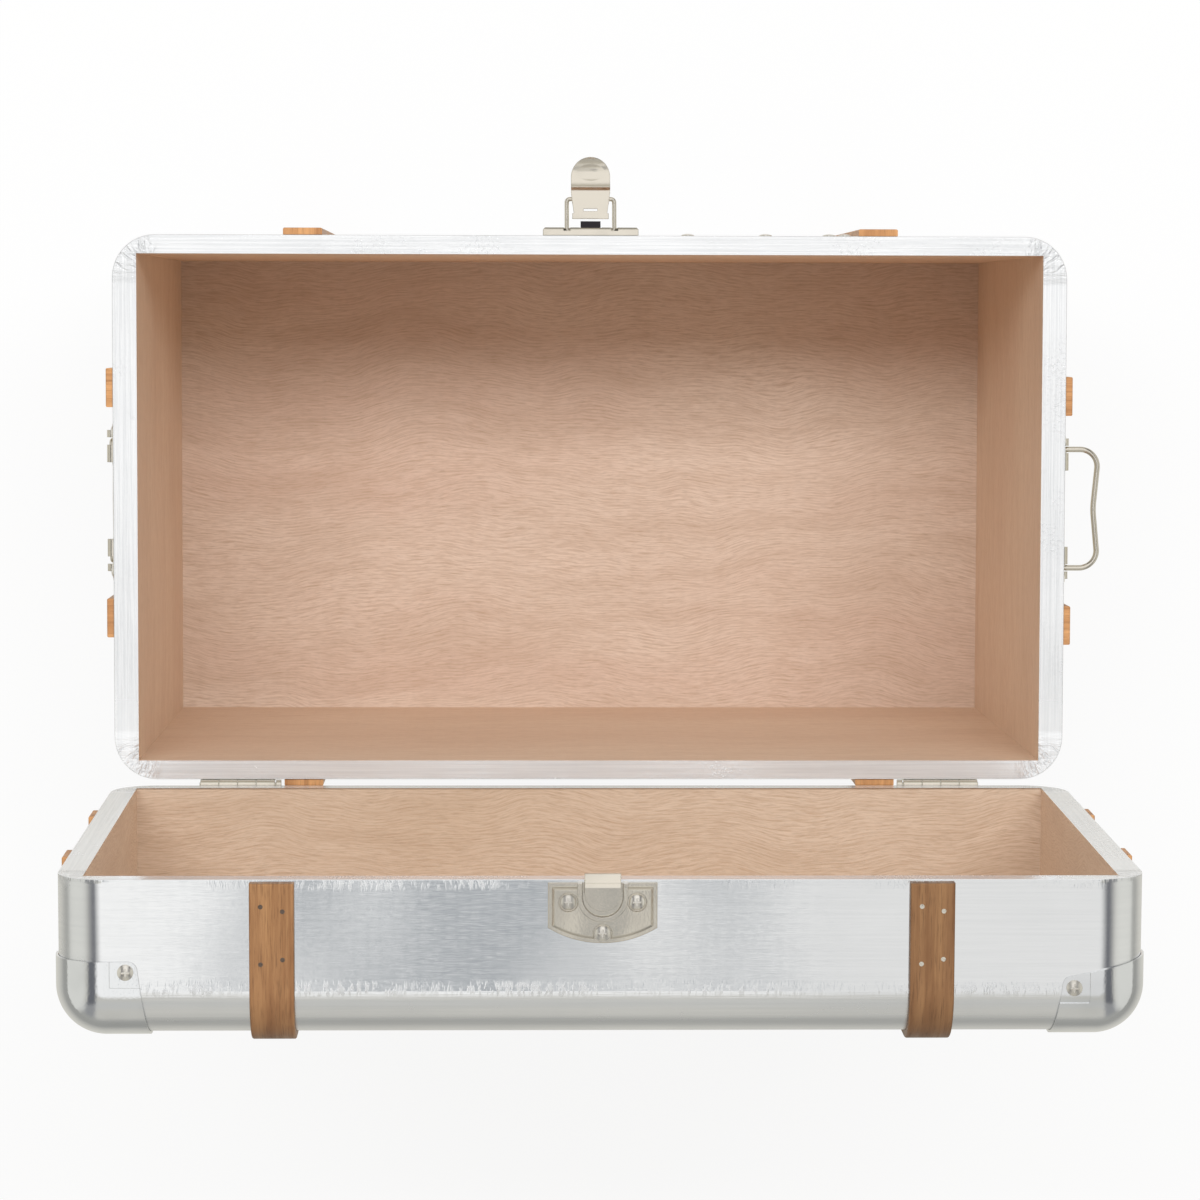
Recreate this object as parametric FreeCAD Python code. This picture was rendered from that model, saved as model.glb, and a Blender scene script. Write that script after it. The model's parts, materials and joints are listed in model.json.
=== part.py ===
import FreeCAD, Part
import math
import os

# Metal-clad travelling trunk with its lid open, in millimetres.
# The chest faces -Y, +Z is up, and the floor is z = 0 with the origin under the middle of the body.
# "u" is a distance out from a wall of the chest, "v" a height above the rim of the body.

# ---- the two cases: plywood boxes in thin sheet ----
WIDTH = 600.0
DEPTH = 343.0
BODY_HEIGHT = 355.0
LID_HEIGHT = 89.0
EDGE_RADIUS = 27.0
SIDE_WALL = 15.2
END_WALL = 11.9
BODY_FLOOR = 9.0
LID_TOP = 9.0
SHEET = 0.6
SHEET_GAP = 0.1
RIM_EASE = 0.45
SEAT_GAP = 0.2
SEAM = 0.4
LID_OPEN_ANGLE = 91.9

# ---- wooden slats ----
SLAT_WIDTH = 24.5
SLAT_THICK = 4.3
SLAT_EASE = 1.1
SLAT_STOP_GAP = 0.35
HOOP_INSET = 119.2
HANDLE_SLAT_GAP = 9.25
SIDE_SLAT_FOOT = 3.0
LEFT_SETTING = 1.3
RIGHT_SETTING = -3.0

# ---- slat nails ----
NAIL_HEAD_RADIUS = 1.3
NAIL_HEAD = 0.5
NAIL_LENGTH = 3.4
NAIL_EDGE = 6.0
NAIL_END = 17.0

# ---- ball corners: reach along the width, the depth and the height, and how far each was set askew ----
CAP_WIDTH_REACH = 51.0
CAP_DEPTH_REACH = 46.0
CAP_HEIGHT_REACH = 43.5
CAP_THICK = 1.4
CAP_POCKET = 14.5
CAP_POCKET_DEPTH = 0.8
CAP_CORNER_RADIUS = 5.0
CAP_SCREW_INSET = 5.8
CAP_SLANT = 0.14
CAP_TOP_SLANT = {"right": 0.0, "left": 0.20}

# ---- dome screws ----
SCREW_HEAD_RADIUS = 4.4
SCREW_HEAD = 2.4
SCREW_SHANK_RADIUS = 1.6
SCREW_LENGTH = 8.5
SCREW_CLEARANCE = 0.1
DOME_EDGE = 0.4
CROSS_LENGTH = 4.6
CROSS_WIDTH = 1.0
CROSS_DEPTH = 1.0

# ---- dome nails through the sheet, along the front edge of the body ----
DOME_NAIL_RADIUS = 4.0
DOME_NAIL_HEAD = 1.4
DOME_NAIL_DROP = 7.0
DOME_NAILS_FROM_LATCH = [31.0, 80.0]
DOME_NAILS_FROM_HOOP = [18.55, 8.55]

# ---- butt hinges ----
HINGE_INSET = 77.5
HINGE_LENGTH = 46.8
HINGE_LEAF_HEIGHT = 17.0
HINGE_LEAF = 1.2
KNUCKLE_RADIUS = 3.0
KNUCKLES = 4
KNUCKLE_GAP = 0.3
HINGE_PIN_RADIUS = 1.25
RUNNING_FIT = 0.06
PIN_TAIL = 0.6
PIN_BUTTON = 3.2
PIN_BUTTON_GAP = 0.9
HINGE_SCREWS = 3
HINGE_SCREW_SPREAD = 33.7
HINGE_SCREW_NEAR = 9.4
HINGE_SCREW_FAR = 12.2
HINGE_SCREW_HEAD_RADIUS = 2.7
HINGE_SCREW_HEAD = 0.9
HINGE_SCREW_SHANK_RADIUS = 1.2

# ---- the stamped plates of catch and latch share one outline ----
PLATE_WIDTH = 60.0
PLATE_STRAIGHT = 25.0
PLATE_SAG = 8.5
PLATE_BEVEL = 1.2

# ---- catch on the lid ----
CATCH_EDGE = 1.6
CATCH_BASE = 1.6
CATCH_FIELD = 3.3
CATCH_INSET = 2.4
CATCH_SCREW_OUT = 18.8
CATCH_SCREW_DROP = 10.6
CATCH_POCKET_RADIUS = 5.3
BOSS_WIDTH = 27.6
BOSS_RIM = 2.6
BOSS_REACH = 23.0
BOSS_RISE = 4.0
TAB_WIDTH = 20.0
TAB_THICK = 1.5
TAB_UNDER = 4.4
CLAW_ROOM = 1.4
TAB_SEAT = 4.6
TAB_BEND = 3.6
LIP_DROP = 3.6
LIP_FALL = 3.6

# ---- draw latch on the body ----
LATCH_EDGE = 5.4
LATCH_RISE = 5.2
LATCH_METAL = 0.9
LATCH_SCREW_OUT = 22.5
LATCH_SCREW_DROP = 20.0
LATCH_POST_RADIUS = 5.6
LATCH_POCKET_RADIUS = 4.8
LATCH_POCKET_FLOOR = 1.6
BAR_OUT = 2.5
BAR_DROP = 13.5
LUG_OUT = 10.0
LUG_WIDTH = 3.0
LINK_RADIUS = 1.4
LINK_HALF_SPAN = 15.0
LINK_BEND = 2.2
LINK_OUT = 6.5
LINK_RISE = 20.8
LINK_TURN = 90.0
SPRING_WIDTH = 12.6
SPRING_LEAF = 0.7
SPRING_REACH = 7.0
SLOT_CLEARANCE = 0.7

# ---- latch lever: "s" runs from its pivot to the finger end, "w" out of its face ----
LEVER_HALF_WIDTH = 12.35
LEVER_NECK = 10.6
LEVER_CLAW_HALF_WIDTH = 11.5
LEVER_METAL = 1.2
LEVER_FACE = 3.0
LEVER_CLAW = 12.5
LEVER_CLAW_BAND = 3.6
LEVER_CLAW_DEPTH = 3.9
LEVER_TIP = 26.4
LEVER_ARCH = 12.5
LEVER_RIDGE = 7.6
LEVER_RIDGE_RISE = 1.1
LEVER_DISH_DEPTH = 1.5
LEVER_TIP_RISE = 0.8
FINGER_MARGIN = 1.5
FINGER_DISH = 0.5
FINGER_ROUND = 80.0
EAR_INNER = 10.3
EAR_THICK = 1.3
EAR_RADIUS = 2.8
LEVER_SLOT_LENGTH = 8.6
LEVER_SLOT_WIDTH = 1.4
LEVER_SLOT_PLACE = -6.9

# ---- drop handles on the sides ----
HANDLE_MARGIN = 3.0
HANDLE_HEIGHT = 44.0
HANDLE_LOBE = 30.0
HANDLE_WAIST = 26.0
HANDLE_PLATE = 1.6
HANDLE_CORNER = 7.0
HANDLE_DROP = 37.0
BAIL_RADIUS = 1.8
BAIL_HALF_SPAN = 38.0
BAIL_PIVOT_OUT = 4.0
BAIL_REACH = 26.7
BAIL_DIP = 3.6
BAIL_FOOT_BEND = 2.2
BAIL_CORNER = 11.0
BAIL_DIP_BEND = 45.0
BAIL_END = 27.0
SOCKET_RADIUS = 3.3
SOCKET_INNER = 24.5
GUARD_LENGTH = 4.6
SOCKET_CLEARANCE = 0.6
HANDLE_SCREW_RISE = 14.0
HANDLE_SCREW_HEAD_RADIUS = 3.8
HANDLE_SCREW_HEAD = 1.9

# ---- heights and lines that follow from the sizes above ----
WALL_COAT = SHEET + SHEET_GAP
SLAT_OUT = SEAT_GAP + SLAT_THICK
SHEET_FOOT = SLAT_OUT
RIM = SHEET_FOOT + BODY_HEIGHT
LID_RIM = RIM + SEAM
TOP = LID_RIM + LID_HEIGHT
HINGE_Y = DEPTH / 2 + SEAT_GAP + KNUCKLE_RADIUS
HINGE_Z = RIM + SEAM / 2
# The rear slats stand back from the rims so that their corners meet as the lid reaches its open angle.
SLAT_END = (SLAT_OUT - (HINGE_Y - DEPTH / 2)) * math.tan(math.radians(LID_OPEN_ANGLE / 2)) + SLAT_STOP_GAP
# The tab ends short of the shut claw by the room that the claw needs to swing in over it.
TAB_REACH = LINK_RISE - BAR_DROP + LEVER_CLAW - LEVER_METAL - SEAM - CLAW_ROOM
HANDLE_SCREW_OUT = BAIL_HALF_SPAN + BAIL_RADIUS + SOCKET_CLEARANCE + HANDLE_SCREW_HEAD_RADIUS
HANDLE_LENGTH = 2 * (HANDLE_SCREW_OUT + HANDLE_SCREW_HEAD_RADIUS + HANDLE_MARGIN)
HOOP_OUT = WIDTH / 2 - HOOP_INSET
SIDE_SLAT_OUT = (HANDLE_LENGTH + SLAT_WIDTH) / 2 + HANDLE_SLAT_GAP
HINGE_OUT = WIDTH / 2 - HINGE_INSET
BODY = "body"
LID = "lid"
SIDES = {"left": -1, "right": 1}
SETTING = {"left": LEFT_SETTING, "right": RIGHT_SETTING}
NEAR = 1e-6
THROUGH = 1.0
FAR = WIDTH + DEPTH + BODY_HEIGHT + LID_HEIGHT

X_AXIS = FreeCAD.Vector(1, 0, 0)
Y_AXIS = FreeCAD.Vector(0, 1, 0)
Z_AXIS = FreeCAD.Vector(0, 0, 1)

# The pieces of each case by name, and the bores that its boards and sheet need.
nodes = {BODY: {}, LID: {}}
bores = {BODY: [], LID: []}


# ---- small helpers ----
def vec(x, y, z):
    return FreeCAD.Vector(x, y, z)


def block(low, high):
    """A box between two corners."""
    size = [b - a for a, b in zip(low, high)]
    return Part.makeBox(*size, vec(*low))


def rod(start, direction, radius, length):
    return Part.makeCylinder(radius, length, start, direction)


def join(shapes):
    """One solid from touching or overlapping solids."""
    first, *rest = shapes
    return first.fuse(rest).removeSplitter() if rest else first


def polygon(points):
    return Part.Face(Part.makePolygon(points + points[:1]))


def smooth_path(points, radii):
    """Straight runs through the points, joined by tangent arcs of the given radii."""
    edges = []
    start = points[0]
    for before, corner, after, radius in zip(points, points[1:], points[2:], radii):
        back = (before - corner).normalize()
        ahead = (after - corner).normalize()
        half = back.getAngle(ahead) / 2
        run = radius / math.tan(half)
        bisector = (back + ahead).normalize()
        enter = corner + back * run
        leave = corner + ahead * run
        middle = corner + bisector * (radius / math.sin(half) - radius)
        edges.append(Part.makeLine(start, enter))
        edges.append(Part.Arc(enter, middle, leave).toShape())
        start = leave
    edges.append(Part.makeLine(start, points[-1]))
    return Part.Wire(edges)


def bent_wire(points, radii, radius):
    """Round wire bent along a path."""
    path = smooth_path(points, radii)
    ring = Part.Wire(Part.makeCircle(radius, points[0], points[1] - points[0]))
    return Part.Wire(path).makePipeShell([ring], True, False)


def dome(seat, out, radius, height):
    """A low spherical dome with a straight edge, standing on a seat."""
    rise = height * (1 - DOME_EDGE)
    ball = (rise ** 2 + radius ** 2) / (2 * rise)
    solid = Part.makeSphere(ball, vec(0, 0, height - ball)).common(rod(vec(0, 0, 0), Z_AXIS, radius, height))
    solid.Placement = FreeCAD.Placement(seat, FreeCAD.Rotation(Z_AXIS, out))
    return solid


def cross_recess(seat, out, height):
    """The space of a cross recess in a screw's head."""
    slots = []
    for along, across in ((CROSS_LENGTH, CROSS_WIDTH), (CROSS_WIDTH, CROSS_LENGTH)):
        low = (-along / 2, -across / 2, height - CROSS_DEPTH)
        slots.append(block(low, (along / 2, across / 2, height)))
    recess = join(slots)
    recess.Placement = FreeCAD.Placement(seat, FreeCAD.Rotation(Z_AXIS, out))
    return recess


def wood_screw(seat, out, head_radius=SCREW_HEAD_RADIUS, head=SCREW_HEAD, shank=SCREW_SHANK_RADIUS):
    """A dome screw with its head standing on the seat and its shank going in against "out"."""
    top = dome(seat, out, head_radius, head)
    if head_radius >= CROSS_LENGTH / 2 + CROSS_WIDTH:
        top = top.cut(cross_recess(seat, out, head))
    return join([top, rod(seat, out * -1, shank, SCREW_LENGTH)])


def screw_bore(seat, out, shank=SCREW_SHANK_RADIUS):
    """The hole that a screw's shank needs below its seat."""
    return rod(seat, out * -1, shank + SCREW_CLEARANCE, SCREW_LENGTH + SCREW_CLEARANCE)


def drive_screws(case, seats, **sizes):
    """Screws at (seat, outward direction) pairs, and their bores in the case."""
    shank = sizes.get("shank", SCREW_SHANK_RADIUS)
    screws = []
    for seat, out in seats:
        screws.append(wood_screw(seat, out, **sizes))
        bores[case].append(screw_bore(seat, out, shank))
    return Part.makeCompound(screws)


# ---- the two cases ----
def case_form(case, offset, rim_inset=0.0):
    """A case's outside moved out by an offset, with its open end held inside the rim."""
    x = WIDTH / 2 + offset
    y = DEPTH / 2 + offset
    if case == BODY:
        low, high = SHEET_FOOT - offset, RIM - rim_inset
        closed = low
    else:
        low, high = LID_RIM + rim_inset, TOP + offset
        closed = high
    solid = block((-x, -y, low), (x, y, high))

    def rounded(edge):
        first, last = [vertex.Point.z for vertex in edge.Vertexes]
        upright = abs(first - last) > NEAR
        at_closed_end = abs(first - closed) < NEAR and abs(last - closed) < NEAR
        return upright or at_closed_end

    return solid.makeFillet(EDGE_RADIUS + offset, [edge for edge in solid.Edges if rounded(edge)])


def case_inside(case):
    """The storage space of a case, reaching out past its rim."""
    x = WIDTH / 2 - SIDE_WALL
    y = DEPTH / 2 - END_WALL
    if case == BODY:
        return block((-x, -y, SHEET_FOOT + BODY_FLOOR), (x, y, RIM + FAR))
    return block((-x, -y, LID_RIM - FAR), (x, y, TOP - LID_TOP))


def case_boards(case):
    """Panel and four boards of a case, butted together and rounded outside as one."""
    wood = case_form(case, -WALL_COAT, WALL_COAT).cut(case_inside(case))
    if case == BODY:
        panel_zone = block((-FAR, -FAR, -FAR), (FAR, FAR, SHEET_FOOT + BODY_FLOOR))
        names = {"panel": "base_panel"}
        prefix = ""
    else:
        panel_zone = block((-FAR, -FAR, TOP - LID_TOP), (FAR, FAR, FAR + TOP))
        names = {"panel": "lid_top_panel"}
        prefix = "lid_"
    front_line = -DEPTH / 2 + END_WALL
    front_zone = block((-FAR, -FAR, -FAR), (FAR, front_line, FAR))
    rear_zone = block((-FAR, -front_line, -FAR), (FAR, FAR, FAR))
    middle_zones = {
        "left": block((-FAR, front_line, -FAR), (0, -front_line, FAR)),
        "right": block((0, front_line, -FAR), (FAR, -front_line, FAR)),
    }
    walls = wood.cut(panel_zone)
    nodes[case][names["panel"]] = wood.common(panel_zone)
    nodes[case][prefix + "front_board"] = walls.common(front_zone)
    nodes[case][prefix + "rear_board"] = walls.common(rear_zone)
    for side, zone in middle_zones.items():
        nodes[case][f"{prefix}{side}_board"] = walls.common(zone)


def case_sheet(case):
    """Thin sheet round a case, folded with a soft edge over the rim to the inner face of the boards."""
    rim = RIM if case == BODY else LID_RIM
    outside = case_form(case, 0)
    fold = [edge for edge in outside.Edges if all(abs(end.Point.z - rim) < NEAR for end in edge.Vertexes)]
    shell = outside.makeFillet(RIM_EASE, fold).cut(case_form(case, -SHEET, SHEET))
    nodes[case][f"{case}_sheet"] = shell.cut(case_inside(case))


# ---- slats ----
def slat_span(case):
    """Heights of a case's slats: the end at the seam, and the plain end on the sides."""
    if case == BODY:
        return RIM - SLAT_END, SHEET_FOOT + EDGE_RADIUS + SIDE_SLAT_FOOT
    return LID_RIM + SLAT_END, TOP - EDGE_RADIUS - SIDE_SLAT_FOOT


def nail(seat, out):
    head = rod(seat, out * -1, NAIL_HEAD_RADIUS, NAIL_HEAD)
    shank = rod(seat, out * -1, NAIL_HEAD_RADIUS / 2, NAIL_LENGTH)
    return join([head, shank])


def nail_pairs(centre, out, along, across, half_run):
    """Two nails, side by side a little askew, near each end of a run of slat."""
    seats = []
    for end in (-1, 1):
        for side in (-1, 1):
            step = end * (half_run + side * NAIL_HEAD_RADIUS)
            seats.append((centre + along * step + across * (side * NAIL_EDGE), out))
    return seats


def ease_long_edges(slat, line, near_outside):
    """Round the two long outer edges of a slat; "line" is the coordinate across it."""
    edges = []
    for edge in slat.Edges:
        points = [vertex.Point for vertex in edge.Vertexes]
        across = [abs(getattr(point, line[0]) - line[1]) for point in points]
        on_side = all(abs(off - SLAT_WIDTH / 2) < NEAR for off in across)
        middle = edge.valueAt((edge.FirstParameter + edge.LastParameter) / 2)
        if on_side and near_outside(middle) and all(near_outside(point) for point in points):
            edges.append(edge)
    return slat.makeFillet(SLAT_EASE, edges)


def keep_slat(case, name, slat, seats):
    """Keep a slat with its nails driven flush."""
    nails = [nail(*seat) for seat in seats]
    nodes[case][name] = slat.cut(nails)
    slat_nails[case] += nails


def add_hoop(case, side):
    """A slat bent round front, closed end and rear of a case."""
    sign = SIDES[side]
    middle = sign * HOOP_OUT
    zone = block((middle - SLAT_WIDTH / 2, -FAR, -FAR), (middle + SLAT_WIDTH / 2, FAR, FAR))
    inner = case_form(case, SEAT_GAP)
    hoop = case_form(case, SLAT_OUT, SLAT_END).common(zone).cut(inner)

    def on_outside(point):
        return not case_form_slim[case].isInside(point, NEAR, True)

    hoop = ease_long_edges(hoop, ("x", middle), on_outside)
    end, foot = slat_span(case)
    half_run = abs(end - foot) / 2 - NAIL_END + SIDE_SLAT_FOOT
    level = (end + foot) / 2
    y = DEPTH / 2 + SLAT_OUT
    closed_z, closed_out = (0.0, Z_AXIS * -1) if case == BODY else (TOP + SLAT_OUT, Z_AXIS)
    seats = nail_pairs(vec(middle, -y, level), Y_AXIS * -1, Z_AXIS, X_AXIS, half_run)
    seats += nail_pairs(vec(middle, y, level), Y_AXIS, Z_AXIS, X_AXIS, half_run)
    flat_run = DEPTH / 2 - EDGE_RADIUS - NAIL_END
    seats += nail_pairs(vec(middle, 0, closed_z), closed_out, Y_AXIS, X_AXIS, flat_run)
    keep_slat(case, f"{case}_{side}_hoop", hoop, seats)


def add_side_slat(case, side, place):
    """A straight slat on a side wall; "place" is -1 for the front one and 1 for the rear one."""
    sign = SIDES[side]
    end, foot = slat_span(case)
    low, high = sorted((end, foot))
    y = place * SIDE_SLAT_OUT + SETTING[side]
    inner, outer = sorted((sign * (WIDTH / 2 + SEAT_GAP), sign * (WIDTH / 2 + SLAT_OUT)))
    slat = block((inner, y - SLAT_WIDTH / 2, low), (outer, y + SLAT_WIDTH / 2, high))
    face = sign * (WIDTH / 2 + SLAT_OUT)

    def on_outside(point):
        return abs(point.x - face) < NEAR

    slat = ease_long_edges(slat, ("y", y), on_outside)
    half_run = (high - low) / 2 - NAIL_END
    seats = nail_pairs(vec(face, y, (low + high) / 2), X_AXIS * sign, Z_AXIS, Y_AXIS, half_run)
    name = f"{case}_{side}_{'front' if place < 0 else 'rear'}_slat"
    keep_slat(case, name, slat, seats)


def add_slats(case):
    for side in SIDES:
        add_hoop(case, side)
        for place in (-1, 1):
            add_side_slat(case, side, place)
    nodes[case][f"{case}_slat_nails"] = Part.makeCompound(slat_nails[case])


# ---- ball corners ----
def cap_zone(side):
    """The region that one ball corner covers, with the outer corner of the case at the origin."""
    slant = CAP_SLANT
    top_slant = CAP_TOP_SLANT[side]
    spare = EDGE_RADIUS
    far_x = (CAP_WIDTH_REACH - slant * CAP_HEIGHT_REACH) / (1 - slant * top_slant)
    far_z = CAP_HEIGHT_REACH - top_slant * far_x
    outline = polygon([
        vec(-spare, -spare, -spare),
        vec(CAP_WIDTH_REACH + slant * spare, -spare, -spare),
        vec(far_x, -spare, far_z),
        vec(-spare, -spare, CAP_HEIGHT_REACH + top_slant * spare),
    ])
    zone = outline.extrude(vec(0, CAP_DEPTH_REACH + spare, 0))
    corner = vec(far_x, CAP_DEPTH_REACH, far_z)

    def at_meeting(edge):
        return any((end.Point - corner).Length < NEAR for end in edge.Vertexes)

    return zone.makeFillet(CAP_CORNER_RADIUS, list(filter(at_meeting, zone.Edges))), far_x, far_z


def at_corner(case, side, place, shape):
    """Move a shape from a corner of its own, facing into +X +Y +Z, to a corner of the case."""
    flips = ((X_AXIS, SIDES[side] > 0), (Y_AXIS, place > 0), (Z_AXIS, case == LID))
    for axis, flipped in flips:
        if flipped:
            shape = shape.mirror(vec(0, 0, 0), axis)
    closed = SHEET_FOOT if case == BODY else TOP
    moved = shape.copy()
    moved.translate(vec(SIDES[side] * WIDTH / 2, place * DEPTH / 2, closed))
    return moved


def point_at_corner(case, side, place, point):
    return at_corner(case, side, place, Part.Vertex(vec(*point))).Point


def add_caps(case):
    seats = []
    thin = CAP_THICK - CAP_POCKET_DEPTH
    outer = case_form(case, SEAT_GAP + CAP_THICK)
    floor = case_form(case, SEAT_GAP + thin)
    inner = case_form(case, SEAT_GAP)
    for side in SIDES:
        zone, far_x, far_z = cap_zone(side)
        far = (far_x, CAP_DEPTH_REACH, far_z)
        for place, name in ((-1, "front"), (1, "rear")):
            cap = outer.common(at_corner(case, side, place, zone)).cut(inner)
            pockets = []
            for flat in range(3):
                low = [far[axis] - CAP_POCKET for axis in range(3)]
                high = [far[axis] + CAP_POCKET for axis in range(3)]
                low[flat], high[flat] = -EDGE_RADIUS, EDGE_RADIUS / 2
                pockets.append(at_corner(case, side, place, block(low, high)).cut(floor))
                spot = [far[axis] - CAP_SCREW_INSET for axis in range(3)]
                spot[flat] = -(SEAT_GAP + thin)
                base = list(spot)
                base[flat] = spot[flat] - 1
                seat = point_at_corner(case, side, place, spot)
                seats.append((seat, point_at_corner(case, side, place, base) - seat))
            cap = cap.cut(pockets)
            nodes[case][f"{case}_cap_{side}_{name}"] = cap.cut([screw_bore(*seat) for seat in seats[-3:]])
    nodes[case][f"{case}_cap_screws"] = drive_screws(case, seats)


def add_dome_nails():
    """Dome nails through the sheet near the rim of the front board, between the latch and the left hoop."""
    places = [PLATE_WIDTH / 2 + gap for gap in DOME_NAILS_FROM_LATCH]
    places += [HOOP_OUT - SLAT_WIDTH / 2 - gap for gap in DOME_NAILS_FROM_HOOP]
    nails = []
    for place in places:
        seat = vec(SIDES["left"] * place, -DEPTH / 2, RIM - DOME_NAIL_DROP)
        head = dome(seat, Y_AXIS * -1, DOME_NAIL_RADIUS, DOME_NAIL_HEAD)
        nails.append(join([head, rod(seat, Y_AXIS, HINGE_SCREW_SHANK_RADIUS, SCREW_LENGTH)]))
        bores[BODY].append(screw_bore(seat, Y_AXIS * -1, HINGE_SCREW_SHANK_RADIUS))
    nodes[BODY]["front_dome_nails"] = Part.makeCompound(nails)


# ---- hinges ----
def hinge_leaf(side, up):
    """A leaf with every second knuckle; "up" is 1 for the lid's leaf and -1 for the body's."""
    sign = SIDES[side]
    low_x = sign * HINGE_OUT - HINGE_LENGTH / 2
    pitch = (HINGE_LENGTH + KNUCKLE_GAP) / KNUCKLES
    face = DEPTH / 2 + SEAT_GAP
    clear = KNUCKLE_RADIUS + KNUCKLE_GAP
    near, far = sorted((HINGE_Z + up * clear, HINGE_Z + up * HINGE_LEAF_HEIGHT))
    parts = [block((low_x, face, near), (low_x + HINGE_LENGTH, face + HINGE_LEAF, far))]
    for index in range(KNUCKLES):
        if index % 2 == (0 if up > 0 else 1):
            start = low_x + index * pitch
            low, high = sorted((HINGE_Z, HINGE_Z + up * clear))
            parts.append(block((start, face, low), (start + pitch - KNUCKLE_GAP, face + HINGE_LEAF, high)))
            parts.append(rod(vec(start, HINGE_Y, HINGE_Z), X_AXIS, KNUCKLE_RADIUS, pitch - KNUCKLE_GAP))
    bore = rod(vec(low_x - THROUGH, HINGE_Y, HINGE_Z), X_AXIS, HINGE_PIN_RADIUS + RUNNING_FIT,
               HINGE_LENGTH + 2 * THROUGH)
    return join(parts).cut(bore)


def hinge_screw_seats(side, up):
    """A zigzag of screws over a leaf."""
    seats = []
    for index in range(HINGE_SCREWS):
        share = index / (HINGE_SCREWS - 1) - 0.5
        x = SIDES[side] * HINGE_OUT + share * HINGE_SCREW_SPREAD
        reach = HINGE_SCREW_FAR if index % 2 else HINGE_SCREW_NEAR
        seats.append((vec(x, DEPTH / 2 + SEAT_GAP + HINGE_LEAF, HINGE_Z + up * reach), Y_AXIS))
    return seats


def hinge_pin(side):
    """The pin, with a round button standing off the inner end of the knuckles."""
    sign = SIDES[side]
    inner_end = vec(sign * (HINGE_OUT - HINGE_LENGTH / 2), HINGE_Y, HINGE_Z)
    inward = X_AXIS * -sign
    reach = PIN_BUTTON_GAP + PIN_BUTTON
    pin = rod(inner_end + inward * reach, inward * -1, HINGE_PIN_RADIUS, reach + HINGE_LENGTH + PIN_TAIL)
    return join([pin, rod(inner_end + inward * PIN_BUTTON_GAP, inward, KNUCKLE_RADIUS, PIN_BUTTON)])


def add_hinges():
    sizes = {
        "head_radius": HINGE_SCREW_HEAD_RADIUS,
        "head": HINGE_SCREW_HEAD,
        "shank": HINGE_SCREW_SHANK_RADIUS,
    }
    for case, up in ((BODY, -1), (LID, 1)):
        seats = []
        for side in SIDES:
            spots = hinge_screw_seats(side, up)
            bored = [screw_bore(*spot, HINGE_SCREW_SHANK_RADIUS) for spot in spots]
            nodes[case][f"hinge_{side}_{case}_leaf"] = hinge_leaf(side, up).cut(bored)
            seats += spots
        nodes[case][f"{case}_hinge_screws"] = drive_screws(case, seats, **sizes)
    for side in SIDES:
        nodes[BODY][f"hinge_{side}_pin"] = hinge_pin(side)


# ---- front hardware: points are (x, u out from the front wall, v above a rim) ----
def front(x, u, v, rim=RIM):
    return vec(x, -DEPTH / 2 - u, rim + v)


OUT = Y_AXIS * -1


def plate_face(edge, up, inset, u, rim):
    """The stamped outline: a straight edge by the seam, straight sides and a low arc at the far end."""
    half = PLATE_WIDTH / 2 - inset
    near = edge + inset
    straight = edge + PLATE_STRAIGHT - inset / 2
    tip = edge + PLATE_STRAIGHT + PLATE_SAG - inset
    outline = ((half, straight), (half, near), (-half, near), (-half, straight))
    corners = [front(x, u, up * v, rim) for x, v in outline]
    edges = [Part.makeLine(a, b) for a, b in zip(corners, corners[1:])]
    edges.append(Part.Arc(corners[3], front(0, u, up * tip, rim), corners[0]).toShape())
    return Part.Face(Part.Wire(edges))


def bevelled_plate(edge, up, inset, low, high, rim):
    """A plate from u = low to u = high whose outer edge is bevelled all round."""
    solid = plate_face(edge, up, inset, low, rim).extrude(OUT * (high - low))
    face_y = -DEPTH / 2 - high
    outer = [e for e in solid.Edges if all(abs(v.Point.y - face_y) < NEAR for v in e.Vertexes)]
    return solid.makeChamfer(PLATE_BEVEL, outer)


def side_profile(points, half_width, rim=RIM):
    """A solid with a profile in u and v, as wide as twice the half width."""
    return polygon([front(-half_width, u, v, rim) for u, v in points]).extrude(X_AXIS * (2 * half_width))


def arch(half_width, reach, near, low, high, rim, up=1):
    """A solid with a straight near end and a round far end, seen from the front."""
    shoulder = reach - half_width
    left = front(-half_width, low, up * near, rim)
    right = front(half_width, low, up * near, rim)
    top_left = front(-half_width, low, up * shoulder, rim)
    top_right = front(half_width, low, up * shoulder, rim)
    edges = [
        Part.makeLine(left, right),
        Part.makeLine(right, top_right),
        Part.Arc(top_right, front(0, low, up * reach, rim), top_left).toShape(),
        Part.makeLine(top_left, left),
    ]
    return Part.Face(Part.Wire(edges)).extrude(OUT * (high - low))


def catch_plate():
    """Bevelled plate with three sunk screw seats and a U-shaped boss round the tab."""
    low = SEAT_GAP
    base = plate_face(CATCH_EDGE, 1, 0, low, LID_RIM).extrude(OUT * (CATCH_BASE - low))
    field = bevelled_plate(CATCH_EDGE, 1, CATCH_INSET, low, CATCH_FIELD, LID_RIM)
    boss = arch(BOSS_WIDTH / 2, BOSS_REACH, CATCH_EDGE, low, BOSS_RISE, LID_RIM)
    seat = block_front(-TAB_WIDTH / 2, TAB_WIDTH / 2, low, TAB_UNDER, CATCH_EDGE, CATCH_EDGE + TAB_SEAT)
    hollow = arch(BOSS_WIDTH / 2 - BOSS_RIM, BOSS_REACH - BOSS_RIM, 0, CATCH_BASE, FAR, LID_RIM)
    pockets = [rod(spot, OUT, CATCH_POCKET_RADIUS, FAR) for spot, _ in catch_screw_seats()]
    body = join([base, field]).cut(pockets)
    boss = boss.cut(pockets)
    body = join([body, boss]).cut(hollow)
    return join([body, seat]).cut([screw_bore(*seat) for seat in catch_screw_seats()])


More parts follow.
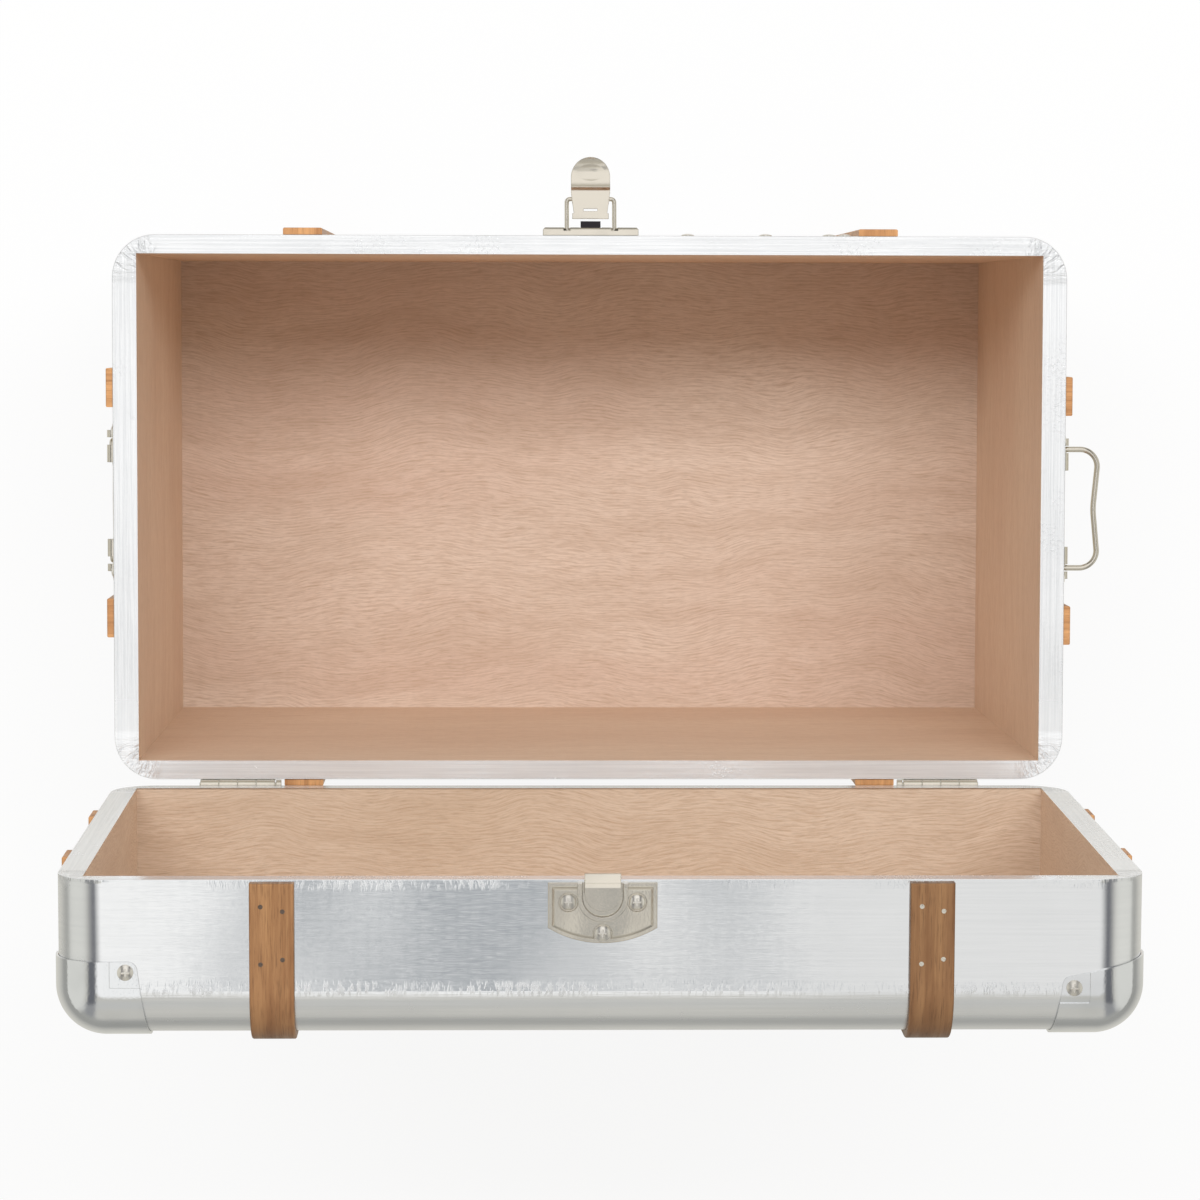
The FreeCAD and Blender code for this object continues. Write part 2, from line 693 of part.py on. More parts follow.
def block_front(x_low, x_high, u_low, u_high, v_low, v_high, rim=LID_RIM):
    """A box given by its place on the front of a case."""
    a = front(x_low, u_low, v_low, rim)
    b = front(x_high, u_high, v_high, rim)
    return block((a.x, b.y, min(a.z, b.z)), (b.x, a.y, max(a.z, b.z)))


def catch_screw_seats():
    far = CATCH_EDGE + PLATE_STRAIGHT + PLATE_SAG - SCREW_HEAD_RADIUS - PLATE_BEVEL
    level = CATCH_EDGE + CATCH_SCREW_DROP
    spots = [(-CATCH_SCREW_OUT, level), (CATCH_SCREW_OUT, level), (0, far)]
    return [(front(x, CATCH_BASE, v, LID_RIM), OUT) for x, v in spots]


def catch_tab():
    """A tongue that stands clear of its plate for the claw, with a lip that laps the seam."""
    under, over = TAB_UNDER, TAB_UNDER + TAB_THICK
    tongue = arch(TAB_WIDTH / 2, TAB_REACH, TAB_BEND, under, over, LID_RIM)
    lip = side_profile([
        (under, TAB_BEND),
        (over, TAB_BEND),
        (over - LIP_FALL, -LIP_DROP),
        (under - LIP_FALL + TAB_THICK / 2, -LIP_DROP),
        (under, CATCH_EDGE - SEAT_GAP),
    ], TAB_WIDTH / 2, LID_RIM)
    return join([tongue, lip])


def latch_base():
    """A hollow stamped plate with lugs for the link's bar, two slots for its arms and a spring window."""
    body = bevelled_plate(LATCH_EDGE, -1, 0, SEAT_GAP, LATCH_RISE, RIM)
    depth = LATCH_RISE - LATCH_METAL - SEAT_GAP
    hollow = plate_face(LATCH_EDGE, -1, LATCH_METAL, SEAT_GAP, RIM).extrude(OUT * depth)
    body = body.cut(hollow)
    depth += LATCH_METAL / 2
    posts = [rod(front(x, SEAT_GAP, v), OUT, LATCH_POST_RADIUS, depth) for x, v in latch_spots()]
    lugs = []
    for side in (-1, 1):
        low, high = sorted((side * LUG_OUT - LUG_WIDTH / 2, side * LUG_OUT + LUG_WIDTH / 2))
        lugs.append(block_front(low, high, SEAT_GAP, LATCH_RISE - LATCH_METAL / 2,
                                -BAR_DROP - 2 * LINK_RADIUS, -BAR_DROP + 2 * LINK_RADIUS, RIM))
    body = join([body] + posts + lugs)
    foot = -BAR_DROP - LINK_RADIUS - 2 * SLOT_CLEARANCE
    cuts = [block_front(-SPRING_WIDTH / 2 - SLOT_CLEARANCE, SPRING_WIDTH / 2 + SLOT_CLEARANCE,
                        LATCH_RISE - LATCH_METAL, FAR, foot, -LATCH_EDGE - LATCH_METAL, RIM)]
    for side in (-1, 1):
        low = side * LINK_HALF_SPAN - LINK_RADIUS - SLOT_CLEARANCE
        high = side * LINK_HALF_SPAN + LINK_RADIUS + SLOT_CLEARANCE
        cuts.append(block_front(low, high, BAR_OUT + LINK_RADIUS / 2, FAR, foot, 0, RIM))
    cuts.append(rod(front(-LUG_OUT - LUG_WIDTH, BAR_OUT, -BAR_DROP), X_AXIS, LINK_RADIUS + RUNNING_FIT,
                    2 * (LUG_OUT + LUG_WIDTH)))
    cuts += [rod(front(x, LATCH_POCKET_FLOOR, v), OUT, LATCH_POCKET_RADIUS, FAR) for x, v in latch_spots()]
    return body.cut(cuts).cut([screw_bore(*seat) for seat in latch_screw_seats()])


def latch_spots():
    tip = LATCH_EDGE + PLATE_STRAIGHT + PLATE_SAG - LATCH_POST_RADIUS - PLATE_BEVEL
    level = LATCH_EDGE + LATCH_SCREW_DROP
    return [(-LATCH_SCREW_OUT, -level), (LATCH_SCREW_OUT, -level), (0, -tip)]


def latch_screw_seats():
    return [(front(x, LATCH_POCKET_FLOOR, v), OUT) for x, v in latch_spots()]


def swung(point, angle):
    """A shut-latch point (x, u, v) swung out about the link's bar by an angle."""
    x, u, v = point
    du, dv = u - BAR_OUT, v + BAR_DROP
    turn = math.radians(angle)
    return (x, BAR_OUT + du * math.cos(turn) + dv * math.sin(turn),
            -BAR_DROP - du * math.sin(turn) + dv * math.cos(turn))


def lever_pivot():
    """Where the lever's pivot lies with the latch open."""
    return swung((0, BAR_OUT + LINK_OUT, -BAR_DROP + LINK_RISE), LINK_TURN)


def latch_link():
    """A wire U: its bar turns in the base plate, and its ends turn in to carry the lever."""
    _, u, v = lever_pivot()
    span = LINK_HALF_SPAN
    end = EAR_INNER + RUNNING_FIT
    points = [front(-end, u, v), front(-span, u, v), front(-span, BAR_OUT, -BAR_DROP),
              front(span, BAR_OUT, -BAR_DROP), front(span, u, v), front(end, u, v)]
    return bent_wire(points, [LINK_BEND] * 4, LINK_RADIUS)


def latch_spring():
    """A leaf curled round the bar, its tail lying along the link."""
    inner = LINK_RADIUS + RUNNING_FIT
    outer = inner + SPRING_LEAF
    centre = front(-SPRING_WIDTH / 2, BAR_OUT, -BAR_DROP)
    ring = rod(centre, X_AXIS, outer, SPRING_WIDTH)
    half = SPRING_LEAF / 2
    tail = [(-half, 0), (half, 0), (half, SPRING_REACH), (-half, SPRING_REACH)]
    lean = LINK_TURN + math.degrees(math.atan2(LINK_OUT, LINK_RISE))
    places = [swung((-SPRING_WIDTH / 2, BAR_OUT + side, -BAR_DROP + along), lean) for side, along in tail]
    strip = polygon([front(*place) for place in places]).extrude(X_AXIS * SPRING_WIDTH)
    bore = rod(centre - X_AXIS * THROUGH, X_AXIS, inner, SPRING_WIDTH + 2 * THROUGH)
    return join([ring, strip]).cut(bore)


def finger_dish(at):
    """The space of the shallow dish in the finger end, hollow along it and across it."""
    low, high = LEVER_RIDGE + FINGER_MARGIN, LEVER_TIP - FINGER_MARGIN
    middle = (low + high) / 2
    brim = LEVER_FACE + LEVER_RIDGE_RISE
    floor = LEVER_FACE - LEVER_DISH_DEPTH - FINGER_DISH
    axis = floor + FINGER_ROUND
    profile = Part.Wire([
        Part.Arc(at(0, low, brim), at(0, middle, floor), at(0, high, brim)).toShape(),
        Part.makeLine(at(0, high, brim), at(0, high, axis)),
        Part.makeLine(at(0, high, axis), at(0, low, axis)),
        Part.makeLine(at(0, low, axis), at(0, low, brim)),
    ])
    return Part.Face(profile).revolve(at(0, middle, axis), Y_AXIS, 360)


def latch_lever():
    """A stamped lever: a claw at one end, a dished finger end at the other, and two ears for the pivot."""
    _, pivot_u, pivot_v = lever_pivot()

    def at(x, s, w):
        return front(x, pivot_u + s, pivot_v + w)

    half = LEVER_HALF_WIDTH
    face, metal = LEVER_FACE, LEVER_METAL
    ridge_w = face + LEVER_RIDGE_RISE
    tip_w = face + LEVER_TIP_RISE
    dish_s = (LEVER_RIDGE + LEVER_TIP) / 2
    dish_w = face - LEVER_DISH_DEPTH

    def line(a, b):
        return Part.makeLine(at(-half, *a), at(-half, *b))

    def arc(a, b, c):
        return Part.Arc(at(-half, *a), at(-half, *b), at(-half, *c)).toShape()

    flat_end = LEVER_RIDGE - 2 * LEVER_RIDGE_RISE
    profile = Part.Wire([
        line((-LEVER_CLAW, -LEVER_CLAW_DEPTH), (-LEVER_CLAW, face)),
        line((-LEVER_CLAW, face), (flat_end, face)),
        line((flat_end, face), (LEVER_RIDGE, ridge_w)),
        arc((LEVER_RIDGE, ridge_w), (dish_s, dish_w), (LEVER_TIP, tip_w)),
        line((LEVER_TIP, tip_w), (LEVER_TIP, tip_w - metal)),
        arc((LEVER_TIP, tip_w - metal), (dish_s, dish_w - metal), (LEVER_RIDGE, ridge_w - metal)),
        line((LEVER_RIDGE, ridge_w - metal), (flat_end, face - metal)),
        line((flat_end, face - metal), (-LEVER_CLAW + metal, face - metal)),
        line((-LEVER_CLAW + metal, face - metal), (-LEVER_CLAW + metal, -LEVER_CLAW_DEPTH)),
        line((-LEVER_CLAW + metal, -LEVER_CLAW_DEPTH), (-LEVER_CLAW, -LEVER_CLAW_DEPTH)),
    ])
    web = Part.Face(profile).extrude(X_AXIS * (2 * half))

    deep = -2 * LEVER_CLAW_DEPTH
    arch_start = LEVER_TIP - LEVER_ARCH
    band_end = -LEVER_CLAW + LEVER_CLAW_BAND
    shoulder = [(LEVER_CLAW_HALF_WIDTH, -LEVER_CLAW), (LEVER_CLAW_HALF_WIDTH, band_end),
                (LEVER_NECK, band_end), (half, LEVER_RIDGE - LEVER_CLAW_BAND), (half, arch_start)]
    right = [at(x, s, deep) for x, s in shoulder]
    left = [at(-x, s, deep) for x, s in reversed(shoulder)]
    ellipse = Part.Ellipse(at(0, LEVER_TIP, deep), at(half, arch_start, deep), at(0, arch_start, deep))
    tip_arc = Part.Edge(ellipse)
    outline = [Part.makeLine(a, b) for a, b in zip(right, right[1:])]
    outline += [Part.makeLine(a, b) for a, b in zip(left, left[1:])]
    outline.append(Part.makeLine(left[-1], right[0]))
    slab = Part.Face(Part.Wire(Part.__sortEdges__(outline + [Part.makeLine(right[-1], left[0])])))
    slab = slab.extrude(Z_AXIS * -4 * deep)
    tip = Part.Face(Part.Wire(tip_arc)).extrude(Z_AXIS * -4 * deep)
    web = web.common(join([slab, tip]))

    ears = []
    for side in (-1, 1):
        low, high = sorted((side * EAR_INNER, side * (EAR_INNER + EAR_THICK)))
        ears.append(rod(at(low, 0, 0), X_AXIS, EAR_RADIUS, high - low))
        corner_a, corner_b = at(low, -EAR_RADIUS, 0), at(high, EAR_RADIUS, face - metal / 2)
        ears.append(block((low, corner_b.y, corner_a.z), (high, corner_a.y, corner_b.z)))
    lever = join([web] + ears)
    bore = rod(at(-half - THROUGH, 0, 0), X_AXIS, LINK_RADIUS + RUNNING_FIT, 2 * (half + THROUGH))
    corner_a = at(-LEVER_SLOT_LENGTH / 2, LEVER_SLOT_PLACE - LEVER_SLOT_WIDTH / 2, 0)
    corner_b = at(LEVER_SLOT_LENGTH / 2, LEVER_SLOT_PLACE + LEVER_SLOT_WIDTH / 2, face + metal)
    slot = block((corner_a.x, corner_b.y, corner_a.z), (corner_b.x, corner_a.y, corner_b.z))
    return lever.cut([bore, slot, finger_dish(at)])


def add_front_hardware():
    nodes[LID]["catch_plate"] = catch_plate()
    nodes[LID]["catch_tab"] = catch_tab()
    nodes[LID]["catch_screws"] = drive_screws(LID, catch_screw_seats())
    nodes[BODY]["latch_base"] = latch_base()
    nodes[BODY]["latch_screws"] = drive_screws(BODY, latch_screw_seats())
    nodes[BODY]["latch_link"] = latch_link()
    nodes[BODY]["latch_spring"] = latch_spring()
    nodes[BODY]["latch_lever"] = latch_lever()


# ---- handles: points are (u out from a side wall, y, v above the rim) ----
def beside(side, u, y, v):
    return vec(SIDES[side] * (WIDTH / 2 + u), y + SETTING[side], RIM + v)


def block_beside(side, u_low, u_high, y_low, y_high, v_low, v_high):
    a = beside(side, u_low, y_low, v_low)
    b = beside(side, u_high, y_high, v_high)
    return block((min(a.x, b.x), a.y, a.z), (max(a.x, b.x), b.y, b.z))


def handle_screw_seats(side):
    seats = []
    for end in (-1, 1):
        for rise in (-1, 1):
            level = -HANDLE_DROP + rise * HANDLE_SCREW_RISE
            spot = beside(side, SEAT_GAP + HANDLE_PLATE, end * HANDLE_SCREW_OUT, level)
            seats.append((spot, X_AXIS * SIDES[side]))
    return seats


def handle_plate(side):
    """Two round-cornered lobes and a narrow waist, with a bored socket and a guard on each lobe."""
    top = SEAT_GAP + HANDLE_PLATE
    half = HANDLE_LENGTH / 2 - HANDLE_CORNER
    pieces = [block_beside(side, SEAT_GAP, top, -half, half,
                           -HANDLE_DROP - HANDLE_WAIST / 2, -HANDLE_DROP + HANDLE_WAIST / 2)]
    for end in (-1, 1):
        low, high = sorted((end * HANDLE_LENGTH / 2, end * (HANDLE_LENGTH / 2 - HANDLE_LOBE)))
        lobe = block_beside(side, SEAT_GAP, top, low, high, -HANDLE_DROP - HANDLE_HEIGHT / 2,
                            -HANDLE_DROP + HANDLE_HEIGHT / 2)
        along = [e for e in lobe.Edges if abs(e.Vertexes[0].Point.x - e.Vertexes[-1].Point.x) > NEAR]
        pieces.append(lobe.makeFillet(HANDLE_CORNER, along))
    for end in (-1, 1):
        arm_inner = BAIL_HALF_SPAN - BAIL_RADIUS - SOCKET_CLEARANCE
        arm_outer = BAIL_HALF_SPAN + BAIL_RADIUS + SOCKET_CLEARANCE
        for near, far in ((SOCKET_INNER, arm_inner), (arm_outer, arm_outer + GUARD_LENGTH)):
            low, high = sorted((end * near, end * far))
            start = beside(side, BAIL_PIVOT_OUT, low, -HANDLE_DROP)
            pieces.append(rod(start, Y_AXIS, SOCKET_RADIUS, high - low))
            pieces.append(block_beside(side, SEAT_GAP, BAIL_PIVOT_OUT, low, high,
                                       -HANDLE_DROP - SOCKET_RADIUS, -HANDLE_DROP + SOCKET_RADIUS))
    plate = join(pieces)
    bored = [screw_bore(*seat) for seat in handle_screw_seats(side)]
    for end in (-1, 1):
        low, high = sorted((end * (BAIL_END - SOCKET_CLEARANCE), end * BAIL_HALF_SPAN))
        start = beside(side, BAIL_PIVOT_OUT, low, -HANDLE_DROP)
        bored.append(rod(start, Y_AXIS, BAIL_RADIUS + RUNNING_FIT, high - low))
    return plate.cut(bored)


def bail(side, raised):
    """A wire bail with a dip in its grip, raised square to the wall or hanging down it."""
    def at(y, reach):
        if raised:
            return beside(side, BAIL_PIVOT_OUT + reach, y, -HANDLE_DROP)
        return beside(side, BAIL_PIVOT_OUT, y, -HANDLE_DROP - reach)

    span, reach = BAIL_HALF_SPAN, BAIL_REACH - BAIL_PIVOT_OUT
    points = [at(-BAIL_END, 0), at(-span, 0), at(-span, reach), at(0, reach - BAIL_DIP),
              at(span, reach), at(span, 0), at(BAIL_END, 0)]
    bends = [BAIL_FOOT_BEND, BAIL_CORNER, BAIL_DIP_BEND, BAIL_CORNER, BAIL_FOOT_BEND]
    return bent_wire(points, bends, BAIL_RADIUS)


def add_handles():
    seats = []
    for side in SIDES:
        nodes[BODY][f"{side}_handle_plate"] = handle_plate(side)
        nodes[BODY][f"{side}_bail"] = bail(side, raised=side == "left")
        seats += handle_screw_seats(side)
    nodes[BODY]["handle_screws"] = drive_screws(
        BODY, seats, head_radius=HANDLE_SCREW_HEAD_RADIUS, head=HANDLE_SCREW_HEAD)


def bore_case(case):
    """Bore the boards and the sheet of a case for every screw and nail that enters it."""
    for name, shape in nodes[case].items():
        if name.endswith(("_board", "_panel", "_sheet")):
            nodes[case][name] = shape.cut(bores[case])


def open_lid(shape):
    """Swing a piece of the shut lid to its open place."""
    opened = shape.copy()
    opened.rotate(vec(0, HINGE_Y, HINGE_Z), X_AXIS * -1, LID_OPEN_ANGLE)
    return opened


case_form_slim = {case: case_form(case, SLAT_OUT - SLAT_THICK / 2, -FAR) for case in (BODY, LID)}
slat_nails = {BODY: [], LID: []}
for case in (BODY, LID):
    case_boards(case)
    case_sheet(case)
    add_slats(case)
    add_caps(case)
add_dome_nails()
add_hinges()
add_front_hardware()
add_handles()
for case in (BODY, LID):
    bore_case(case)

os.makedirs("parts", exist_ok=True)
for name, shape in nodes[BODY].items():
    shape.exportStep(f"parts/{name}.step")
for name, shape in nodes[LID].items():
    open_lid(shape).exportStep(f"parts/{name}.step")
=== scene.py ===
import json
import math
from typing import NamedTuple

import bpy
from mathutils import Matrix, Vector


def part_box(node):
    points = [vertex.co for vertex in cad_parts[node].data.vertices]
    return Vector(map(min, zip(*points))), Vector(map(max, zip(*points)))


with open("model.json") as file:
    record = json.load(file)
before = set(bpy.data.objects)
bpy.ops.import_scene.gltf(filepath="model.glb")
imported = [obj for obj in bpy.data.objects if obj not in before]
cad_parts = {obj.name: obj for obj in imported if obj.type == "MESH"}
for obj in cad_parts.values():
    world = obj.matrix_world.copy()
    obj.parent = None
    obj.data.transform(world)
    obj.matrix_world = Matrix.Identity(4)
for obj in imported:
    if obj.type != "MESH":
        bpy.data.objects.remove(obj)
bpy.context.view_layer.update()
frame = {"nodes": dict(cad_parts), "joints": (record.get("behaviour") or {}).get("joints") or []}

# A metal-clad plywood trunk, seen from above with its lid standing open behind it. Lengths are in metres.
# No piece is added: every solid of the frame keeps its mesh and gets a procedural material.
# X runs across the trunk, Y away from its front, where the latch is, and Z up.
SIDES = ("left", "right")
WHITE = (1.0, 1.0, 1.0)

# ---- the photograph's camera: place across, away and over the rim, turns about X, Y and Z, and lens ----
CAMERA_ACROSS = 0.05245
CAMERA_AWAY = -0.11943
CAMERA_OVER_RIM = 2.5052
CAMERA_TURNS = (0.07059, -0.02336, 0.00093)
SENSOR = 36.0
FOCAL_PIXELS = 3978.8
FRAME_PIXELS = 1200

# ---- the sheets' form: the radius of their corners and folds, the rim that they meet on, and their size ----
EDGE_RADIUS = 0.027
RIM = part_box("body_sheet")[1].z
CASE_HEIGHT = {"body": 0.355, "lid": 0.089}
HALF_WIDTH = 0.300
HALF_DEPTH = 0.1715


class Nodes:
    """A node tree under construction. Most methods add a node and return the socket that it ends in."""

    def __init__(self, tree):
        self.tree = tree

    def node(self, kind, **settings):
        """A new node itself, for sockets that the other methods don't set."""
        made = self.tree.nodes.new(kind)
        for name, value in settings.items():
            setattr(made, name, value)
        return made

    def feed(self, socket, value):
        if isinstance(value, bpy.types.NodeSocket):
            self.tree.links.new(value, socket)
        elif hasattr(value, "__len__") and len(socket.default_value) == 4:
            socket.default_value = (*value, 1.0)
        else:
            socket.default_value = value

    def mapped(self, start, scale=(1.0, 1.0, 1.0), shift=(0.0, 0.0, 0.0)):
        made = self.node("ShaderNodeMapping")
        self.feed(made.inputs["Vector"], start)
        made.inputs["Scale"].default_value = scale
        made.inputs["Location"].default_value = shift
        return made.outputs["Vector"]

    def turned(self, start, turn, shift=None):
        """A place, or a direction where no shift is given, after a turn about X."""
        made = self.node("ShaderNodeMapping", vector_type="VECTOR" if shift is None else "POINT")
        self.feed(made.inputs["Vector"], start)
        made.inputs["Rotation"].default_value = (turn, 0.0, 0.0)
        if shift is not None:
            made.inputs["Location"].default_value = shift
        return made.outputs["Vector"]

    def noise(self, vector, scale=1.0, detail=3.0, rough=0.5, swirl=0.0):
        made = self.node("ShaderNodeTexNoise")
        self.feed(made.inputs["Vector"], vector)
        made.inputs["Scale"].default_value = scale
        made.inputs["Detail"].default_value = detail
        made.inputs["Roughness"].default_value = rough
        made.inputs["Distortion"].default_value = swirl
        return made.outputs["Fac"]

    def curve(self, value, low, high, low_out=0.0, high_out=1.0):
        """An eased step from one output to the other, as the value goes from low to high."""
        made = self.node("ShaderNodeMapRange", interpolation_type="SMOOTHSTEP")
        for name, number in (("Value", value), ("From Min", low), ("From Max", high),
                             ("To Min", low_out), ("To Max", high_out)):
            self.feed(made.inputs[name], number)
        return made.outputs["Result"]

    def mix(self, share, first, second, how="MIX"):
        """A colour between two. Sockets 0, 6 and 7 are the share and the two colours, and 2 is the result."""
        made = self.node("ShaderNodeMix", data_type="RGBA", blend_type=how)
        self.feed(made.inputs[0], share)
        self.feed(made.inputs[6], first)
        self.feed(made.inputs[7], second)
        return made.outputs[2]

    def math(self, how, first, second=0.0):
        made = self.node("ShaderNodeMath", operation=how)
        self.feed(made.inputs[0], first)
        self.feed(made.inputs[1], second)
        return made.outputs[0]

    def add(self, first, second):
        return self.math("ADD", first, second)

    def times(self, first, second):
        return self.math("MULTIPLY", first, second)

    def less(self, first, second):
        return self.math("SUBTRACT", first, second)

    def most(self, first, second):
        return self.math("MAXIMUM", first, second)

    def size(self, value):
        return self.math("ABSOLUTE", value)

    def band(self, value, low, high, soft):
        """One between two limits and nothing outside them."""
        rise = self.curve(value, low - soft, low + soft)
        fall = self.curve(value, high - soft, high + soft, 1.0, 0.0)
        return self.times(rise, fall)

    def split(self, vector):
        """The three sockets of a vector's parts."""
        made = self.node("ShaderNodeSeparateXYZ")
        self.feed(made.inputs[0], vector)
        return made.outputs


class Streak(NamedTuple):
    """Noise drawn out along a grain, and how it shows: from where, fully from where, and how strongly."""
    along: float
    across: float
    detail: float
    low: float
    high: float
    share: float
    rough: float = 0.5
    swirl: float = 0.0


class Finish(Nodes):
    """A procedural material round one principled shader."""

    def __init__(self, name, metallic=0.0, roughness=0.5):
        self.material = bpy.data.materials.new(name)
        self.material.use_nodes = True
        super().__init__(self.material.node_tree)
        self.shader = self.tree.nodes["Principled BSDF"]
        self.metallic(metallic)
        self.roughness(roughness)
        self.here = self.node("ShaderNodeTexCoord").outputs["Object"]

    def colour(self, value):
        self.feed(self.shader.inputs["Base Color"], value)

    def metallic(self, value):
        self.feed(self.shader.inputs["Metallic"], value)

    def roughness(self, value):
        self.feed(self.shader.inputs["Roughness"], value)

    def bump(self, height, distance, strength=1.0, below=None):
        """Relief over the relief below it; the last one added is what the shader shows."""
        made = self.node("ShaderNodeBump")
        made.inputs["Strength"].default_value = strength
        made.inputs["Distance"].default_value = distance
        self.feed(made.inputs["Height"], height)
        if below:
            self.feed(made.inputs["Normal"], below)
        self.feed(self.shader.inputs["Normal"], made.outputs["Normal"])
        return made.outputs["Normal"]

    def streaks(self, streak, start, crossed, shift=(0.0, 0.0, 0.0)):
        """A streak's noise. "crossed" is the axis that the grain crosses."""
        place = self.mapped(start, grain_scale(crossed, streak.along, streak.across), shift)
        return self.noise(place, detail=streak.detail, rough=streak.rough, swirl=streak.swirl)

    def shown(self, streak, noise):
        return self.curve(noise, streak.low, streak.high, 0.0, streak.share)


def grain_scale(crossed, along, across):
    """Scales that draw a noise out along the grain; "crossed" is the axis that the grain crosses."""
    scale = [along] * 3
    scale["XYZ".index(crossed)] = across
    return scale


def scaled(colour, factor):
    return tuple(part * factor for part in colour)


# ---- plywood: pale, rosy and dark wood by board, and the layers of its grain from broad to fine ----
PLY = ((0.74, 0.595, 0.485), (0.665, 0.49, 0.39), (0.45, 0.30, 0.20))
LID_PLY = ((0.65, 0.50, 0.38), (0.58, 0.43, 0.31), (0.41, 0.27, 0.17))
# The walls' wood is painted lighter than the base's: painted light, standing in for the light that reaches
# the walls.
WALL_PLY_PAINTED_LIGHT = ((0.87, 0.69, 0.53), (0.80, 0.60, 0.45), (0.64, 0.45, 0.31))
PLY_STEP = (1.7, 0.9, 2.3)
PLY_ROUGH = (0.3, 0.8, 0.44, 0.58)
SWELL_SCALE = 6.5
SWELL = 0.060
RIPPLE_SCALE = 32.0
RIPPLE = 0.003
PLY_PATCH = Streak(3.0, 9.0, 3.0, 0.35, 0.68, 0.80)
PLY_FIGURE = Streak(9.0, 60.0, 2.0, 0.42, 0.72, 0.22)
PLY_THREAD = Streak(50.0, 900.0, 2.0, 0.46, 0.70, 0.30)
PLY_STROKE = Streak(110.0, 2300.0, 2.0, 0.45, 0.65, 0.36)
PLY_PORE = Streak(190.0, 3600.0, 1.0, 0.56, 0.72, 0.25)
COMB = {"Scale": 140.0, "Distortion": 5.0, "Detail": 2.0, "Detail Scale": 0.5}
COMB_ALONG = 0.10
COMB_SHOWS = (0.45, 0.95)
COMB_BREAK = Streak(95.0, 420.0, 1.0, 0.40, 0.62, 1.0)
COMB_SHARE = 0.34
PORE_SHADE = 0.55


def wandering(finish, across, shift):
    """Places that swell and ripple over the grain, so that straight streaks wander."""
    place = finish.mapped(finish.here, shift=shift)
    swell = finish.times(finish.noise(place, SWELL_SCALE, 2.0), SWELL)
    ripple = finish.times(finish.noise(place, RIPPLE_SCALE, 2.0), RIPPLE)
    bend = finish.node("ShaderNodeCombineXYZ")
    finish.feed(bend.inputs[across], finish.add(swell, ripple))
    moved = finish.node("ShaderNodeVectorMath", operation="ADD")
    finish.feed(moved.inputs[0], finish.here)
    finish.feed(moved.inputs[1], bend.outputs["Vector"])
    return moved.outputs["Vector"]


def combed(finish, wavy, across, shift):
    """Fine parallel lines that break off and start again."""
    comb = finish.node("ShaderNodeTexWave", wave_type="BANDS", bands_direction=across)
    finish.feed(comb.inputs["Vector"], finish.mapped(wavy, grain_scale(across, COMB_ALONG, 1.0), shift))
    for name, number in COMB.items():
        comb.inputs[name].default_value = number
    breaks = finish.shown(COMB_BREAK, finish.streaks(COMB_BREAK, wavy, across, shift))
    lines = finish.curve(comb.outputs["Fac"], *COMB_SHOWS)
    return finish.times(finish.times(lines, breaks), COMB_SHARE)


def plywood(name, across, seed, colours):
    """Rotary-cut lauan: combed lines that follow a wandering grain, over faint rosy patches."""
    finish = Finish(name)
    pale, rosy, dark = colours
    shift = tuple(seed * step for step in PLY_STEP)
    wavy = wandering(finish, across, shift)
    patch, figure, thread, stroke, pore = (
        finish.streaks(streak, wavy, across, shift)
        for streak in (PLY_PATCH, PLY_FIGURE, PLY_THREAD, PLY_STROKE, PLY_PORE))
    colour = finish.mix(finish.shown(PLY_PATCH, patch), pale, rosy)
    colour = finish.mix(finish.shown(PLY_FIGURE, figure), colour, dark)
    colour = finish.mix(finish.shown(PLY_THREAD, thread), colour, dark)
    colour = finish.mix(finish.shown(PLY_STROKE, stroke), colour, dark)
    colour = finish.mix(combed(finish, wavy, across, shift), colour, dark)
    finish.colour(finish.mix(finish.shown(PLY_PORE, pore), colour, scaled(dark, PORE_SHADE)))
    finish.roughness(finish.curve(stroke, *PLY_ROUGH))
    under = finish.bump(finish.times(stroke, -1.0), distance=0.0002, strength=0.35)
    finish.bump(finish.times(pore, -1.0), distance=0.0001, strength=0.4, below=under)
    return finish.material


# ---- slats: oiled hardwood, darker on the lid's hoops; the other slats are lighter, partly paler end grain and partly a painted highlight ----
SLAT_PALE = (0.45, 0.235, 0.100)
SLAT_DARK = (0.26, 0.115, 0.046)
SLAT_TONE = {"lid_right_hoop": 0.84, "lid_left_hoop": 0.63}
# Lighter tone for every slat but the lid's hoops: partly their paler end grain, partly a painted highlight
# where their ends face the light.
SLAT_END_GRAIN_AND_HIGHLIGHT = 1.5
SLAT_STEP = (0.7, 1.3, 0.4)
SLAT_ROUGH = (0.3, 0.7, 0.40, 0.56)
SLAT_FIGURE = Streak(9.0, 70.0, 3.0, 0.34, 0.68, 0.75, rough=0.6, swirl=0.8)
SLAT_BAND = Streak(7.0, 340.0, 3.0, 0.42, 0.68, 0.55, rough=0.6, swirl=0.3)
SLAT_PATCH = Streak(24.0, 24.0, 3.0, 0.45, 0.75, 0.35)
SLAT_PORE = Streak(75.0, 1700.0, 2.0, 0.52, 0.70, 0.50, rough=0.6)


def slat_wood(name, across, seed, tone):
    """Oiled hardwood slat with straight grain along it, broad soft figure and a few short flecks."""
    finish = Finish(name)
    pale, dark = scaled(SLAT_PALE, tone), scaled(SLAT_DARK, tone)
    shift = tuple(seed * step for step in SLAT_STEP)
    figure, band, patch, pore = (
        finish.streaks(streak, finish.here, across, shift)
        for streak in (SLAT_FIGURE, SLAT_BAND, SLAT_PATCH, SLAT_PORE))
    colour = finish.mix(finish.shown(SLAT_FIGURE, figure), pale, dark)
    colour = finish.mix(finish.shown(SLAT_BAND, band), colour, dark)
    colour = finish.mix(finish.shown(SLAT_PATCH, patch), colour, pale)
    finish.colour(finish.mix(finish.shown(SLAT_PORE, pore), colour, scaled(dark, PORE_SHADE)))
    finish.roughness(finish.curve(band, *SLAT_ROUGH))
    finish.bump(finish.times(pore, -1.0), distance=0.00025, strength=0.5)
    return finish.material


